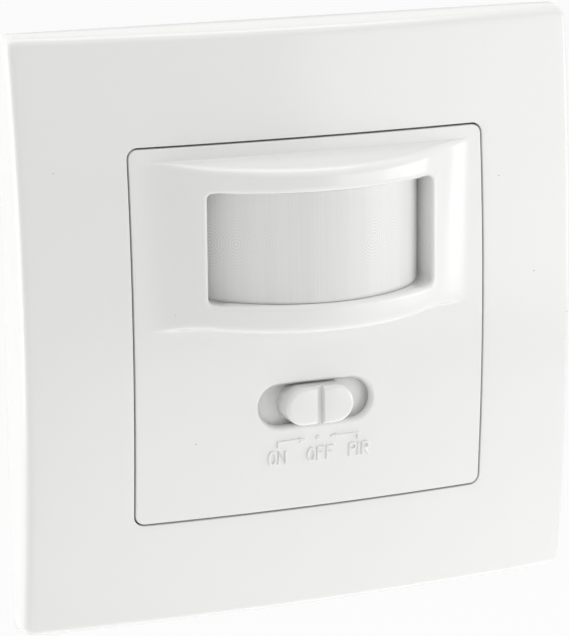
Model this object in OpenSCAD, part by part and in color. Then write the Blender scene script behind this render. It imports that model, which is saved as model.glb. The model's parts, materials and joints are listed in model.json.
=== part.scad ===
// Flush-mounted light switch with a motion sensor: a square frame and a cover with a lens hood
// and a three-way slide switch, on a steel ring with a round housing that sits in a wall box.
// X points right, Z up, and Y into the wall. The wall's face is Y = 0.

/* [Frame] */
// Width and height of the square frame at the wall
frame_w = 80; // [78:0.5:88]
// Height of the domed front above the wall, at its crown
crown_h = 9.4; // [9:0.1:11]
// Radius of the spherical front
dome_r = 284; // [260:2:400]
// Draft of the frame's four sides, in degrees
side_draft = 5; // [2:0.5:7]
// Corner radius of the frame's outline
frame_corner_r = 1.5; // [0.5:0.1:3]
// Thickness of the frame's front skin
frame_skin = 2.5; // [1.8:0.1:2.8]
// Thickness of the frame's outer skirt at the wall
skirt_t = 2.6; // [2:0.1:3]
// Thickness of the collar around the frame's opening
collar_t = 1.8; // [1.2:0.1:2.4]
// Thickness of the lip that the front cover stands on
lip_t = 2; // [1.5:0.1:2.5]
// Thickness of the stiffening ribs inside the frame
rib_t = 1.2; // [0.8:0.1:2]
// Distance of each stiffening rib from the middle of its side
rib_x = 13; // [9:0.5:18]

/* [Front cover] */
// Width and height of the front cover
cover_w = 50; // [49:0.5:54]
// Gap between the cover and the frame
cover_gap = 0.25; // [0.15:0.05:0.5]
// Corner radius of the cover
cover_corner_r = 1.2; // [0.6:0.1:2.5]
// Thickness of the cover's front skin
cover_skin = 1.8; // [1.4:0.1:2]
// Thickness of the cover's skirt
cover_wall = 1.6; // [1.2:0.1:2]
// Width of each snap hook
hook_w = 6; // [4:0.5:9]
// Thickness of a snap hook's arm
hook_t = 1.1; // [0.9:0.1:1.2]
// How far a hook's nose reaches under the inner cover
hook_catch = 0.7; // [0.5:0.05:0.8]

/* [Lens hood] */
// Radius of the hood's front, seen from above
hood_r = 28; // [26:0.5:32]
// How far the hood stands out from the crown
hood_rise = 7.4; // [6.5:0.1:8]
// Height of the hood's upper front edge
hood_top_z = 22.6; // [22.2:0.1:23]
// Height where the hood's sloping top meets the dome
hood_foot_z = 23.3; // [23.2:0.1:24.8]
// Height of the hood's lower edge
hood_bottom_z = 1.25; // [0:0.25:1.5]
// Width of the lens window
window_w = 32; // [28:0.5:33]
// Height of the lens window
window_h = 15; // [12:0.5:15.2]
// Height of the window's middle
window_z = 12.2; // [12:0.1:12.4]
// Corner radius of the window
window_corner_r = 0.8; // [0.4:0.1:1.5]
// Wall of the tunnel behind the window
tunnel_t = 1.2; // [0.8:0.1:1.4]
// Outer radius of the lens
lens_r = 18.4; // [18:0.1:20]
// Thickness of the lens
lens_t = 0.6; // [0.5:0.05:0.8]
// How far the lens lies behind the hood's front
lens_recess = 0.5; // [0.4:0.1:1]
// Thickness of the frame that holds the lens from behind
retainer_t = 0.9; // [0.7:0.1:1.2]
// Width of the retainer's borders
retainer_border = 1.6; // [1.2:0.1:2]

/* [Mode switch] */
// Height of the slide switch's middle
slot_z = -10.5; // [-11.5:0.1:-9.5]
// Travel of the knob to each side
travel = 3; // [2:0.1:3.2]
// Length of the knob's grip
knob_len = 9.8; // [8:0.1:10.5]
// Height of the knob's grip
knob_h = 5.4; // [4.8:0.1:5.8]
// How far the grip stands out from the cover
knob_proud = 1.8; // [1.2:0.1:2.5]
// Narrowing of the grip from root to tip, on each side
knob_taper = 0.3; // [0.1:0.05:0.6]
// Thickness of the plate behind the slot
knob_plate_t = 1.2; // [1:0.1:1.3]
// Width of the groove across the grip
groove_w = 1; // [0.6:0.1:1.4]
// Depth of the groove across the grip
groove_d = 0.6; // [0.3:0.1:1]
// Length of the switch lever along the travel
lever_w = 3; // [2.4:0.1:3.4]
// Thickness of the switch lever
lever_t = 2; // [1.6:0.1:2.4]
// Length of the switch case
case_len = 14.2; // [14:0.1:15.5]
// Width of the switch case
case_w = 7; // [6.4:0.1:7.6]
// Height of the switch on its board
switch_h = 5.2; // [5:0.1:5.6]
// Sheet of the switch case
case_t = 0.4; // [0.3:0.05:0.5]

/* [Support ring and inner cover] */
// Thickness of the steel support ring
ring_t = 1.2; // [1:0.1:1.5]
// Spacing of the wall box's screws
box_pitch = 60; // [60:0.5:61]
// Length of each screw slot
slot_len = 6; // [5:0.25:6.5]
// Width of each screw slot
slot_w = 4; // [3.5:0.1:4.4]
// Corner radius of the support ring
ring_corner_r = 6; // [3:0.5:10]
// Thickness of the housing's front flange
flange_t = 2; // [1.8:0.1:2.2]
// Thickness of the inner cover
plate_t = 1.5; // [1.4:0.1:1.6]
// How far the inner cover stands back from the flange's edges
plate_step = 0.4; // [0.2:0.05:0.5]
// Distance of the corner screws from the flange's edges
screw_inset = 3; // [2.8:0.1:3.2]
// Radius of the corner screws' shanks
screw_r = 1.2; // [1:0.05:1.4]
// Radius of the corner screws' heads
screw_head_r = 1.9; // [1.7:0.05:2.1]
// Height of the corner screws' heads, which lie in the inner cover
screw_head_h = 0.9; // [0.7:0.05:1]

/* [Rear housing] */
// Radius of the round housing
housing_r = 22.8; // [22.4:0.1:23.4]
// Wall of the housing
housing_wall = 1.8; // [1.4:0.1:2]
// Depth of the housing behind the wall's face
housing_depth = 30; // [29:0.5:34]
// Thickness of the housing's rear wall
floor_t = 1.8; // [1.4:0.1:2.2]
// Walls around the terminal step
step_wall = 1.5; // [1.2:0.1:1.8]
// Radius of the board posts
post_r = 2.4; // [2.2:0.1:2.6]
// Radius of the thin upper end of the board posts
post_tip_r = 1.6; // [1.4:0.05:1.8]
// Angle of the board posts below the horizontal
post_angle = 13; // [11:0.5:15]
// Distance of the board posts from the housing's wall
post_edge = 1.1; // [0.8:0.1:1.4]
// Radius of the board screws' shanks
board_screw_r = 0.8; // [0.6:0.05:0.9]
// Radius of the board screws' heads
board_screw_head_r = 1.8; // [1.4:0.1:2]
// Height of the board screws' heads
board_screw_head_h = 1.2; // [0.8:0.1:1.4]
// Length of the board screws in the posts
board_screw_len = 6.7; // [5:0.1:7]

/* [Boards] */
// Thickness of both circuit boards
pcb_t = 1.6; // [1.2:0.1:1.8]
// Radius of the sensor's can
pir_r = 4.1; // [3.8:0.1:4.4]
// Height of the motion sensor
pir_h = 4.2; // [4:0.1:4.6]
// Sheet of the sensor's can
pir_can_t = 0.3; // [0.2:0.05:0.4]
// Thickness of the sensor's base
pir_base_t = 0.8; // [0.6:0.1:1]
// Rim of the sensor's base around its can
pir_rim = 0.5; // [0.3:0.1:0.8]
// Thickness of the sensor's infrared window
pir_pane_t = 0.5; // [0.4:0.1:0.8]
// Border of the infrared window behind the can
pir_pane_rim = 0.5; // [0.3:0.1:0.7]
// Width of the window in the sensor's can
pir_window_w = 4; // [3:0.1:4.4]
// Height of the window in the sensor's can
pir_window_h = 3; // [2.4:0.1:3.4]
// Distance of the light sensor from the motion sensor
light_x = 8.5; // [7.5:0.1:10]
// Radius of the light sensor
light_r = 1.5; // [1.3:0.1:1.8]
// Height of the light sensor up to its round tip
light_h = 3; // [2.4:0.1:3.4]
// Thickness of the light sensor's rim
light_rim_t = 1; // [0.6:0.1:1.2]
// Width of the light sensor's rim
light_rim = 0.3; // [0.2:0.05:0.5]
// Gap between each trimmer and the board screw beside it
trimmer_gap = 0.8; // [0.4:0.1:1.4]
// Radius of a trimmer's body
trimmer_r = 3.4; // [3.1:0.1:3.5]
// Height of a trimmer's body
trimmer_h = 2.8; // [2.4:0.1:3.2]
// Radius of a trimmer's rotor
rotor_r = 2.4; // [2:0.1:2.6]
// Thickness of a trimmer's rotor
rotor_h = 1.4; // [1.2:0.1:1.6]
// Radius of a rotor's shaft
rotor_shaft_r = 1.2; // [0.9:0.05:1.4]
// Length of the detector chip
chip_len = 10; // [8:0.5:12]
// Width of the detector chip
chip_w = 4; // [3:0.25:5]
// Height of the detector chip
chip_h = 1.6; // [1.2:0.1:2]
// Number of pins in the header between the boards
header_pins = 5; // [3:1:6]

/* [Power parts] */
// Distance of the relay's middle to the right
relay_x = 1; // [0:0.25:1.5]
// Length of the relay
relay_len = 18.5; // [16:0.5:20]
// Width of the relay
relay_w = 10; // [9:0.25:10.5]
// Height of the relay
relay_h = 12; // [11.5:0.1:13]
// Length of the dropper capacitor
dropper_len = 13; // [11:0.5:14]
// Distance of the dropper capacitor from the power board's edge
dropper_edge = 1.8; // [0.8:0.1:2.5]
// Height of the dropper capacitor
dropper_h = 11; // [9:0.5:11.5]
// Radius of the smoothing capacitor
smoothing_r = 4; // [3.5:0.1:4.4]
// Height of the smoothing capacitor
smoothing_h = 11.2; // [9:0.2:11.4]
// Radius of the varistor's disc
varistor_r = 4.5; // [4:0.1:4.6]
// Thickness of the varistor
varistor_t = 3.6; // [3:0.1:4]
// Radius of the fuse resistor
fuse_r = 1.6; // [1.2:0.05:1.7]
// Length of the fuse resistor
fuse_len = 9; // [7:0.5:10]
// Radius of each diode
diode_r = 1.35; // [1:0.05:1.4]
// Length of each diode
diode_len = 5.2; // [4.4:0.1:5.3]
// Pitch of the row of diodes
diode_pitch = 3.4; // [3.1:0.05:3.5]

/* [Terminals] */
// Pitch of the three terminals
terminal_pitch = 5.08; // [5:0.02:5.2]
// Wall of the terminal block in front of its cages
terminal_wall = 1; // [0.8:0.1:1.2]
// Depth of the terminal block
terminal_depth = 9.5; // [9:0.1:9.8]
// Height of the terminal block above its board
terminal_h = 10; // [9.8:0.1:11]
// Radius of the wire holes
wire_r = 1.6; // [1.2:0.05:1.7]
// Height of the wire holes above their board
wire_y = 3.8; // [3.6:0.1:4]
// Length of each clamping cage along the wire
cage_len = 6.4; // [5.5:0.1:6.8]
// Width of each clamping cage
cage_w = 4.2; // [4.1:0.05:4.3]
// Wall between the wire and the screw side of a cage
cage_top = 1.7; // [1.4:0.1:1.9]
// Radius of the clamping screws' shanks
clamp_r = 1.2; // [0.9:0.05:1.3]
// Radius of the clamping screws' heads
clamp_head_r = 1.8; // [1.6:0.05:1.9]
// Height of the clamping screws' heads
clamp_head_h = 1.8; // [1.4:0.1:2]

/* [Hidden] */
$fn = 72;

// Clearances
ring_gap = 1.9;
inner_gap = 0.4;
housing_gap = 0.3;
board_gap = 0.3;
lens_gap = 0.1;
slide_gap = 0.15;
knob_gap = 0.2;
socket_gap = 0.1;
bolt_gap = 0.15;
screw_fit = 0.05;
shaft_fit = 0.05;
rotor_gap = 0.1;
hook_gap = 0.1;
part_gap = 0.6;
cage_gap = 0.1;
seat_gap = 0.3;
eps = 0.01;

// Height of the dome above the wall at a point of the front
function dome_h(x, z) = sqrt(dome_r * dome_r - x * x - z * z) - dome_r + crown_h;

// Layers along Y, from the wall forwards
y_ring = -ring_t;
y_lip = y_ring - lip_t;
y_flange = y_ring - flange_t;
y_plate = y_flange - plate_t;
y_screw_seat = y_plate + screw_head_h;
front_reach = crown_h + hood_rise + 2;

// Frame and cover outlines
open_w = cover_w + 2 * cover_gap;
open_r = cover_corner_r + cover_gap;
lip_open_w = cover_w - 2 * cover_wall;
inner_r_corner = 0.6;
skirt_in_w = frame_w - 2 * skirt_t;
ring_w = skirt_in_w - 2 * ring_gap;
flange_w = lip_open_w - 2 * inner_gap;
plate_w = flange_w - 2 * plate_step;
plate_corner_r = 1;
screw_xz = flange_w / 2 - screw_inset;
ring_hole_r = housing_r + housing_gap;

// Hood and lens
hood_axis_y = hood_r - crown_h - hood_rise;
hood_foot_r = hood_axis_y + dome_h(0, hood_foot_z);
lens_axis_y = lens_r - (crown_h + hood_rise - lens_recess);
lens_w = window_w - 2 * lens_gap;
lens_h = window_h - 2 * lens_gap;
lens_in_r = lens_r - lens_t;
retainer_r = lens_in_r - lens_gap;
retainer_half = lens_w / 2 - lens_gap;
y_tunnel = y_plate - seat_gap;

// Knob and its slot
slot_l = knob_len + 2 * travel + 2 * knob_gap;
slot_h = knob_h + 2 * knob_gap;
face_y = -dome_h(0, slot_z);
plate_cover = 0.4;
plate_side = 1.1;
knob_plate_len = slot_l + 2 * travel + 2 * plate_cover;
knob_plate_h = slot_h + 2 * plate_side;
pad_skin = 2;
pad_y = face_y + pad_skin;
pad_len = knob_plate_len + 2 * travel + 4 * plate_cover;
pad_h = knob_plate_h + 2 * knob_gap;
guide_t = 1.2;
guide_d = 1.3;
y_knob_plate = pad_y + slide_gap;
y_knob_back = y_knob_plate + knob_plate_t;
y_knob_front = face_y - knob_proud;
socket_d = 3;
y_lever_tip = y_knob_back - socket_d + seat_gap;

// Boards
inner_r = housing_r - housing_wall;
board_r = inner_r - board_gap;
pir_lead = 0.3;
y_sensor = lens_axis_y + pir_h - pir_lead;
y_sensor_back = y_sensor + pcb_t;
y_floor = housing_depth - floor_t;
y_power_back = y_floor - part_gap - relay_h;
y_power = y_power_back - pcb_t;
post_ring_r = inner_r - post_r - post_edge;
post_x = post_ring_r * cos(post_angle);
post_z = post_ring_r * sin(post_angle);

// Slide switch on the sensor board
y_case = y_sensor - switch_h;
switch_base_t = 1;
slider_len = 2 * lever_w;
slider_t = 1.9;
slider_w = case_w - 2 * case_t - 4 * slide_gap;
y_slider = y_case + case_t + slide_gap;
contact_len = 1.5 * travel;
contact_t = 0.4;
contact_w = 1.6;
y_contact = y_slider + slider_t;
stud_r = 0.6;

// Trimmers, each beside a board screw's head
trimmer_reach = trimmer_r + board_screw_head_r + trimmer_gap;
trimmer_x = post_x - sqrt(trimmer_reach * trimmer_reach - post_z * post_z);
y_trimmer = y_sensor - trimmer_h;
y_rotor = y_trimmer - rotor_gap;
rotor_shaft_len = trimmer_h / 2;
driver_slot = 0.8;

// Rows of power parts, from the terminal step upwards
terminal_w = 3 * terminal_pitch;
terminal_z = -sqrt(board_r * board_r - terminal_w * terminal_w / 4);
step_z = terminal_z + terminal_depth + seat_gap;
step_y = y_power_back + seat_gap;
row_z = step_z + step_wall + part_gap;
diode_z = row_z + 2 * fuse_r + part_gap;
relay_z = max(diode_z + diode_len, row_z + 2 * varistor_r) + part_gap;
dropper_z = relay_z + relay_w + part_gap;
dropper_w = sqrt(board_r * board_r - dropper_len * dropper_len / 4) - dropper_edge - dropper_z;
row_x = 0.6;
varistor_x = row_x - part_gap - diode_r - varistor_t;

// Terminals
y_terminal = y_power_back + terminal_h;
wire_axis_y = y_power_back + wire_y;
cage_z = terminal_z + terminal_wall;
y_cage_top = wire_axis_y + wire_r + cage_top;
clamp_z = cage_z + cage_len / 2;
y_clamp_head = y_cage_top + knob_gap;

// Colours, as in the photograph for what shows there
white = "#e6e7e3";
milky = "#d9dbd8";
zinc = "#b9bcbf";
steel = "#9a9da1";
brass = "#c2a255";
dark = "#2b2d30";
grey = "#8d9093";
green = "#2f6b45";
blue = "#3b5f9a";

// An outline in X and Z, made solid from y0 back to y1
module slab(y0, y1) {
    translate([0, y1, 0]) rotate([90, 0, 0]) linear_extrude(height = y1 - y0) children();
}

// A rectangle with round corners
module rounded(w, h, r) {
    square([w - 2 * r, h], center = true);
    square([w, h - 2 * r], center = true);
    for (x = [-1, 1], z = [-1, 1])
        translate([x * (w / 2 - r), z * (h / 2 - r)]) circle(r);
}

// A rectangle with round ends
module stadium(len, h) {
    square([len - h, h], center = true);
    for (s = [-1, 1])
        translate([s * (len - h) / 2, 0]) circle(h / 2);
}

// The ball whose front is the dome, moved inwards by t
module dome(t) {
    translate([0, dome_r - crown_h, 0]) sphere(dome_r - t, $fn = 360);
}

// The hood's upright round front with its sloping top, moved inwards by t
module hood(t) {
    translate([0, hood_axis_y, hood_bottom_z + t])
        cylinder(h = hood_top_z - hood_bottom_z - 2 * t, r = hood_r - t, $fn = 180);
    translate([0, hood_axis_y, hood_top_z - t - eps])
        cylinder(h = hood_foot_z - hood_top_z, r1 = hood_r - t, r2 = hood_foot_r - t, $fn = 180);
}

// The lens window's outline, grown by t on each side
module window(t) {
    translate([0, window_z]) rounded(window_w + 2 * t, window_h + 2 * t, window_corner_r + t);
}

// Copies at the four corners of a square
module at_corners(d) {
    for (x = [-d, d], z = [-d, d])
        translate([x, 0, z]) children();
}

// Copies at the two board posts
module at_posts() {
    for (s = [-1, 1])
        translate([s * post_x, 0, -s * post_z]) children();
}

// Copies at the three terminals
module at_terminals() {
    for (i = [-1, 0, 1])
        translate([i * terminal_pitch, 0, 0]) children();
}

// A round rod along Y
module rod(r, y0, y1) {
    slab(y0, y1) circle(r);
}

// A box between two corners
module block(a, b) {
    translate(a) cube(b - a);
}

module frame_blank() {
    tip = frame_w / 2 - crown_h * tan(side_draft);
    side = [[-frame_w / 2, 0], [frame_w / 2, 0], [tip, -crown_h], [-tip, -crown_h]];
    intersection() {
        slab(-crown_h, 0) rounded(frame_w, frame_w, frame_corner_r);
        linear_extrude(height = 2 * frame_w, center = true) polygon(side);
        rotate([0, 90, 0]) linear_extrude(height = 2 * frame_w, center = true) polygon(side);
        dome(0);
    }
}

module frame_ribs() {
    for (turn = [0 : 90 : 270], s = [-1, 1])
        rotate([0, turn, 0])
            block([open_w / 2, -crown_h, s * rib_x - rib_t / 2],
                [frame_w / 2, 0, s * rib_x + rib_t / 2]);
}

module outer_frame() color(white) difference() {
    frame_blank();
    difference() {
        intersection() {
            slab(-crown_h, ring_t) rounded(skirt_in_w, skirt_in_w, inner_r_corner);
            dome(frame_skin);
        }
        slab(-2 * crown_h, 2 * ring_t) rounded(open_w + 2 * collar_t, open_w + 2 * collar_t, open_r);
        frame_ribs();
    }
    slab(y_ring, ring_t) rounded(skirt_in_w, skirt_in_w, inner_r_corner);
    slab(-2 * crown_h, y_lip) rounded(open_w, open_w, open_r);
    slab(-2 * crown_h, ring_t) rounded(lip_open_w, lip_open_w, inner_r_corner);
}

module snap_hook() {
    wall_x = cover_w / 2 - cover_wall;
    x1 = wall_x - knob_gap;
    x0 = x1 - hook_t;
    nose_x = x0 - hook_gap - hook_catch;
    y_end = y_ring - seat_gap;
    block([x0, y_plate - 2, -hook_w / 2], [wall_x + eps, y_lip - eps, hook_w / 2]);
    block([x0, y_lip - 1, -hook_w / 2], [x1, y_end, hook_w / 2]);
    block([nose_x, y_flange + hook_gap, -hook_w / 2], [x0 + eps, y_end, hook_w / 2]);
}

module front_cover() color(white) difference() {
    union() {
        difference() {
            intersection() {
                slab(-front_reach, y_lip) rounded(cover_w, cover_w, cover_corner_r);
                union() {
                    dome(0);
                    hood(0);
                }
            }
            intersection() {
                slab(-front_reach, 0) rounded(lip_open_w, lip_open_w, inner_r_corner);
                union() {
                    dome(cover_skin);
                    hood(cover_skin);
                }
            }
        }
        intersection() {
            hood(0);
            slab(-front_reach, y_tunnel) window(tunnel_t);
        }
        intersection() {
            dome(cover_skin / 2);
            translate([0, 0, slot_z]) slab(-crown_h, pad_y + guide_d)
                square([pad_len, pad_h + 2 * guide_t], center = true);
        }
        for (turn = [0, 180])
            rotate([0, turn, 0]) snap_hook();
    }
    translate([0, 0, slot_z]) slab(pad_y, 0) square([pad_len + eps, pad_h], center = true);
    translate([0, 0, slot_z]) slab(-front_reach, 0) stadium(slot_l, slot_h);
    slab(-front_reach, 0) window(0);
}

// An upright tube around the lens axis, kept in front of the inner cover within a rounded outline
module lens_arc(r, t, w, h) {
    intersection() {
        translate([0, lens_axis_y, window_z]) difference() {
            cylinder(h = h, r = r, center = true, $fn = 180);
            cylinder(h = h + 1, r = r - t, center = true, $fn = 180);
        }
        slab(lens_axis_y - 2 * lens_r, y_plate) translate([0, window_z])
            rounded(w, h, window_corner_r);
    }
}

module fresnel_lens() color(milky) lens_arc(lens_r, lens_t, lens_w, lens_h);

module lens_retainer() color(grey) difference() {
    foot_w = retainer_border;
    foot_y = lens_axis_y - sqrt(retainer_r * retainer_r - retainer_half * retainer_half);
    union() {
        lens_arc(retainer_r, retainer_t, 2 * retainer_half, lens_h);
        for (s = [-1, 1])
            translate([s * (retainer_half - foot_w / 2), 0, window_z])
                slab(foot_y, y_plate) square([foot_w, lens_h - 2 * window_corner_r], center = true);
    }
    slab(-front_reach, lens_axis_y) translate([0, window_z])
        square([2 * (retainer_half - foot_w), lens_h - 2 * retainer_border], center = true);
}

module mode_knob() color(white) translate([0, 0, slot_z]) difference() {
    mid = (knob_len - knob_h) / 2;
    tip = knob_h / 2 - knob_taper;
    union() {
        slab(y_knob_plate, y_knob_back) rounded(knob_plate_len, knob_plate_h, plate_corner_r);
        for (s = [-1, 1])
            translate([s * mid, y_knob_plate + eps, 0]) rotate([90, 0, 0])
                cylinder(h = y_knob_plate + eps - y_knob_front, r1 = knob_h / 2, r2 = tip);
        translate([-mid, 0, 0]) rotate([90, 0, 90]) linear_extrude(height = 2 * mid)
            polygon([[y_knob_plate + eps, -knob_h / 2], [y_knob_front, -tip],
                [y_knob_front, tip], [y_knob_plate + eps, knob_h / 2]]);
    }
    slab(y_knob_front - 1, y_knob_front + groove_d) square([groove_w, knob_h], center = true);
    slab(y_knob_back - socket_d, y_knob_back + 1)
        square([lever_w + 2 * socket_gap, lever_t + 2 * socket_gap], center = true);
}

module switch_lever() color(dark) translate([0, 0, slot_z]) {
    slab(y_lever_tip, y_slider + eps) square([lever_w, lever_t], center = true);
    slab(y_slider, y_contact) square([slider_len, slider_w], center = true);
}

module switch_contact() color(brass) translate([0, 0, slot_z])
    slab(y_contact, y_contact + contact_t) square([contact_len, contact_w], center = true);

module switch_case() color(steel) translate([0, 0, slot_z]) difference() {
    slab(y_case, y_sensor - switch_base_t) square([case_len, case_w], center = true);
    slab(y_case + case_t, y_sensor)
        square([case_len - 2 * case_t, case_w - 2 * case_t], center = true);
    slab(y_case - 1, y_sensor)
        square([lever_w + 2 * travel + 4 * knob_gap, lever_t + 2 * knob_gap], center = true);
}

module switch_base() color(dark) translate([0, 0, slot_z]) difference() {
    slab(y_sensor - switch_base_t, y_sensor) square([case_len, case_w], center = true);
    switch_stud_places() rod(stud_r + shaft_fit, y_contact, y_sensor + 1);
}

module switch_stud_places() {
    for (i = [-1.5 : 1 : 1.5])
        translate([i * travel, 0, 0]) children();
}

module switch_studs() color(brass) translate([0, 0, slot_z])
    switch_stud_places() rod(stud_r, y_contact + contact_t + shaft_fit, y_sensor);

module inner_cover() color(white) difference() {
    slab(y_plate, y_flange) rounded(plate_w, plate_w, plate_corner_r);
    slab(y_plate - 1, 0) translate([0, window_z])
        square([lens_w - 4 * retainer_border, lens_h - 2 * retainer_border], center = true);
    slab(y_plate - 1, 0) translate([0, slot_z])
        square([lever_w + 2 * travel + 4 * knob_gap, lever_t + 4 * knob_gap], center = true);
    for (s = [-1, 1])
        translate([s * trimmer_x, 0, 0]) rod(rotor_r + seat_gap, y_plate - 1, 0);
    for (turn = [0, 180])
        rotate([0, turn, 0]) hook_notch(y_plate - 1, y_flange + eps, 0);
    at_corners(screw_xz) {
        rod(screw_r + bolt_gap, y_plate - 1, 0);
        rod(screw_head_r + bolt_gap, y_plate - 1, y_screw_seat);
    }
}

// Room for a snap hook at the edge of a plate, deeper by extra
module hook_notch(y0, y1, extra) {
    x0 = cover_w / 2 - cover_wall - knob_gap - hook_t - hook_gap - extra;
    half = hook_w / 2 + seat_gap;
    block([x0, y0, -half], [cover_w, y1, half]);
}

module cover_screws() color(zinc) at_corners(screw_xz) difference() {
    union() {
        rod(screw_head_r, y_plate, y_screw_seat);
        rod(screw_r, y_screw_seat - eps, 0);
    }
    for (turn = [0, 90])
        rotate([0, turn, 0])
            slab(y_plate - 1, y_plate + screw_head_h / 2)
                square([2 * screw_r, driver_slot / 2], center = true);
}

module support_ring() color(zinc) difference() {
    slab(y_ring, 0) rounded(ring_w, ring_w, ring_corner_r);
    rod(ring_hole_r, y_ring - 1, 1);
    for (turn = [0 : 90 : 270])
        rotate([0, turn, 0]) translate([box_pitch / 2, 0, 0])
            slab(y_ring - 1, 1) stadium(slot_len, slot_w);
    at_corners(screw_xz) rod(screw_r + screw_fit, y_ring - 1, 1);
}

// The terminal step: the part of the housing below its upper wall and behind its front wall
module step_room(grow) {
    block([-2 * housing_r, step_y + step_wall - grow, -2 * housing_r],
        [2 * housing_r, 2 * housing_depth, step_z + grow]);
}

module rear_housing() color(white) difference() {
    union() {
        difference() {
            union() {
                slab(y_flange, y_ring) rounded(flange_w, flange_w, plate_corner_r);
                rod(housing_r, y_ring - eps, housing_depth);
            }
            difference() {
                rod(inner_r, y_flange - 1, y_floor);
                step_room(step_wall);
            }
        }
        at_posts() {
            rod(post_tip_r, y_sensor_back, y_power_back + eps);
            rod(post_r, y_power_back, y_floor + eps);
        }
    }
    step_room(0);
    translate([0, 0, terminal_z + terminal_depth / 2])
        slab(y_power_back, 2 * housing_depth)
            square([terminal_w + 2 * cage_gap, terminal_depth + 2 * cage_gap], center = true);
    for (turn = [0, 180])
        rotate([0, turn, 0]) hook_notch(y_flange - 1, y_ring + eps, hook_catch + 2 * hook_gap);
    at_corners(screw_xz) rod(screw_r + bolt_gap, y_flange - 1, 0);
    at_posts() rod(board_screw_r + screw_fit, 0, y_sensor_back + board_screw_len);
}

module sensor_board() color(green) difference() {
    rod(board_r, y_sensor, y_sensor_back);
    at_posts() rod(board_screw_r + bolt_gap, y_sensor - 1, y_sensor_back + 1);
}

module board_screws() color(zinc) at_posts() difference() {
    union() {
        rod(board_screw_head_r, y_sensor - board_screw_head_h, y_sensor);
        rod(board_screw_r, y_sensor - eps, y_sensor_back + board_screw_len - seat_gap);
    }
    slab(y_sensor - 2 * board_screw_head_h, y_sensor - board_screw_head_h / 2)
        square([4 * board_screw_head_r, driver_slot / 2], center = true);
}

module pir_base() color(steel) translate([0, 0, window_z])
    rod(pir_r + pir_rim, y_sensor - pir_base_t, y_sensor);

module pir_can() color(zinc) translate([0, 0, window_z]) difference() {
    rod(pir_r, y_sensor - pir_h, y_sensor - pir_base_t);
    rod(pir_r - pir_can_t, y_sensor - pir_h + pir_can_t, y_sensor);
    slab(y_sensor - pir_h - 1, y_sensor) square([pir_window_w, pir_window_h], center = true);
}

module pir_window() color(dark) translate([0, y_sensor - pir_h + pir_can_t, window_z])
    slab(0, pir_pane_t)
        square([pir_window_w + 2 * pir_pane_rim, pir_window_h + 2 * pir_pane_rim], center = true);

module light_sensor() color(milky) translate([light_x, 0, window_z]) {
    rod(light_r, y_sensor - light_h, y_sensor);
    rod(light_r + light_rim, y_sensor - light_rim_t, y_sensor);
    translate([0, y_sensor - light_h, 0]) sphere(light_r);
}

module trimmer(x) {
    translate([x, 0, 0]) difference() {
        rod(trimmer_r, y_trimmer, y_sensor);
        rod(rotor_shaft_r + shaft_fit, y_trimmer - 1, y_trimmer + rotor_shaft_len + shaft_fit);
    }
}

module rotor(x) {
    translate([x, 0, 0]) difference() {
        union() {
            rod(rotor_r, y_rotor - rotor_h, y_rotor);
            rod(rotor_shaft_r, y_rotor - eps, y_trimmer + rotor_shaft_len);
        }
        slab(y_rotor - 2 * rotor_h, y_rotor - rotor_h / 2)
            square([driver_slot, 2 * rotor_r], center = true);
        slab(y_rotor - 2 * rotor_h, y_rotor - rotor_h / 2) translate([0, rotor_r])
            square([2 * driver_slot, rotor_r], center = true);
    }
}

module time_trimmer() color(blue) trimmer(-trimmer_x);

module time_rotor() color(white) rotor(-trimmer_x);

module lux_trimmer() color(blue) trimmer(trimmer_x);

module lux_rotor() color(white) rotor(trimmer_x);

module detector_chip() color(dark)
    slab(y_sensor_back, y_sensor_back + chip_h) square([chip_len, chip_w], center = true);

module board_header() color(dark) {
    header_pitch = 2.54;
    header_z = -board_r + 2 * header_pitch;
    slab(y_sensor_back, y_power) translate([0, header_z])
        square([header_pins * header_pitch, header_pitch], center = true);
}

module power_board() color(green) difference() {
    rod(board_r, y_power, y_power_back);
    at_posts() rod(post_tip_r + bolt_gap, y_power - 1, y_power_back + 1);
}

module relay() color(blue)
    block([relay_x - relay_len / 2, y_power_back, relay_z],
        [relay_x + relay_len / 2, y_power_back + relay_h, relay_z + relay_w]);

module dropper_capacitor() color("#b8862f")
    block([-dropper_len / 2, y_power_back, dropper_z],
        [dropper_len / 2, y_power_back + dropper_h, dropper_z + dropper_w]);

module smoothing_capacitor() color(dark)
    translate([varistor_x - part_gap - smoothing_r, 0, row_z + varistor_r])
        rod(smoothing_r, y_power_back, y_power_back + smoothing_h);

module varistor() color(blue)
    translate([varistor_x, y_power_back + varistor_r, row_z + varistor_r])
        rotate([0, 90, 0]) cylinder(h = varistor_t, r = varistor_r);

module fuse_resistor() color(grey)
    translate([row_x, y_power_back + fuse_r, row_z + fuse_r])
        rotate([0, 90, 0]) cylinder(h = fuse_len, r = fuse_r);

module rectifier_diodes() color(dark) {
    for (i = [0 : 3])
        translate([row_x + diode_r + i * diode_pitch, y_power_back + diode_r, diode_z])
            cylinder(h = diode_len, r = diode_r);
}

module terminal_block() color("#3f8f5a") difference() {
    block([-terminal_w / 2, y_power_back, terminal_z],
        [terminal_w / 2, y_terminal, terminal_z + terminal_depth]);
    at_terminals() {
        block([-cage_w / 2 - cage_gap, y_power_back - 1, cage_z - cage_gap],
            [cage_w / 2 + cage_gap, y_cage_top + cage_gap, cage_z + cage_len + cage_gap]);
        translate([0, wire_axis_y, terminal_z - 1]) cylinder(h = 2 + terminal_wall, r = wire_r + seat_gap);
        translate([0, 0, clamp_z]) rod(clamp_head_r + bolt_gap, y_cage_top, y_terminal + 1);
    }
}

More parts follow.
